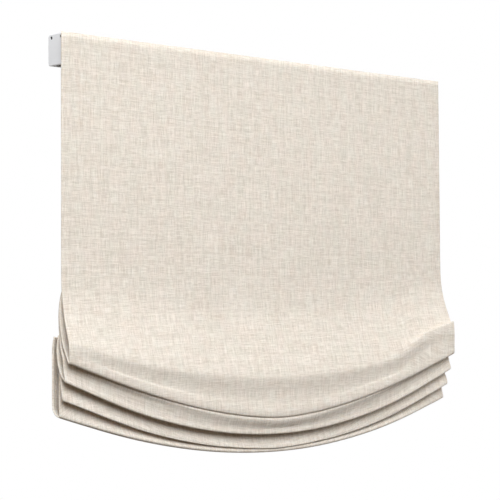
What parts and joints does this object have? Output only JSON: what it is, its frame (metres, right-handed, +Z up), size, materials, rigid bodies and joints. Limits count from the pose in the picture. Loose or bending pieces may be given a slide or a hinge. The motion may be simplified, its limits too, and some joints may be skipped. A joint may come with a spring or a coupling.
{
  "type": "roman blind",
  "caption": "Cordless roman blind in natural linen, partly raised into soft swagged folds, on a pale headrail with hidden wall brackets.",
  "frame": {"origin": "centre of the four wall screw holes, on the wall plane, at the middle of the headrail's height", "axes": "+X to the right along the headrail, +Y into the wall, +Z up"},
  "size_m": [0.768, 0.0824, 0.5964],
  "materials": {
    "linen": "matte",
    "rail_coat": "satin",
    "cap_plastic": "satin",
    "bracket_steel": "satin",
    "steel": "satin",
    "screw_steel": "satin",
    "white_nylon": "satin",
    "clear_plastic": "gloss",
    "brake_plastic": "matte",
    "cord": "matte",
    "hook_tape": "matte"
  },
  "bodies": {
    "root": {"balance_spring": "steel", "bracket_left": "bracket_steel", "bracket_right": "bracket_steel", "brake_housing": "brake_plastic", "cap_screws_left": "screw_steel", "cap_screws_right": "screw_steel", "cloth_panel": "linen", "end_cap_left": "cap_plastic", "end_cap_right": "cap_plastic", "headrail": "rail_coat", "hook_strip": "hook_tape", "lift_cord_left": "cord", "lift_cord_right": "cord", "loop_strip": "hook_tape", "panel_rings": "clear_plastic", "shaft_bush_left": "white_nylon", "shaft_bush_right": "white_nylon", "spool_cradle_left": "white_nylon", "spool_cradle_right": "white_nylon", "spring_anchor": "brake_plastic"},
    "lift": {"cloth_folds": "linen", "cord_stop_left": "clear_plastic", "cord_stop_right": "clear_plastic", "lift_rings_left": "clear_plastic", "lift_rings_right": "clear_plastic"},
    "drive": {"brake_drum": "white_nylon", "cord_spool_left": "white_nylon", "cord_spool_right": "white_nylon", "cord_turns_left": "cord", "cord_turns_right": "cord", "drive_shaft": "steel", "spring_plug": "white_nylon"},
    "cam_left": {"bracket_cam_left": "white_nylon", "cam_lever_left": "white_nylon"},
    "cam_right": {"bracket_cam_right": "white_nylon", "cam_lever_right": "white_nylon"}
  },
  "joints": [
    {"name": "lift", "type": "slide", "parent": "root", "child": "lift", "axis": [0, 0, 1], "range_m": [-0.1, 0.18], "deforming": ["cloth_panel", "lift_cord_left", "lift_cord_right"]},
    {"name": "drive_spin", "type": "hinge", "parent": "root", "child": "drive", "pos_m": [0, -0.0265, -0.0036], "axis": [1, 0, 0], "range_deg": [-1100, 1100]},
    {"name": "cam_left_turn", "type": "hinge", "parent": "root", "child": "cam_left", "pos_m": [-0.3, -0.0255, 0.0236], "axis": [0, 0, 1], "range_deg": [-90, 0]},
    {"name": "cam_right_turn", "type": "hinge", "parent": "root", "child": "cam_right", "pos_m": [0.3, -0.0255, 0.0236], "axis": [0, 0, 1], "range_deg": [0, 90]}
  ],
  "couplings": [
    {"joint": "drive_spin", "follows": "lift", "rad_per_m": -100}
  ]
}
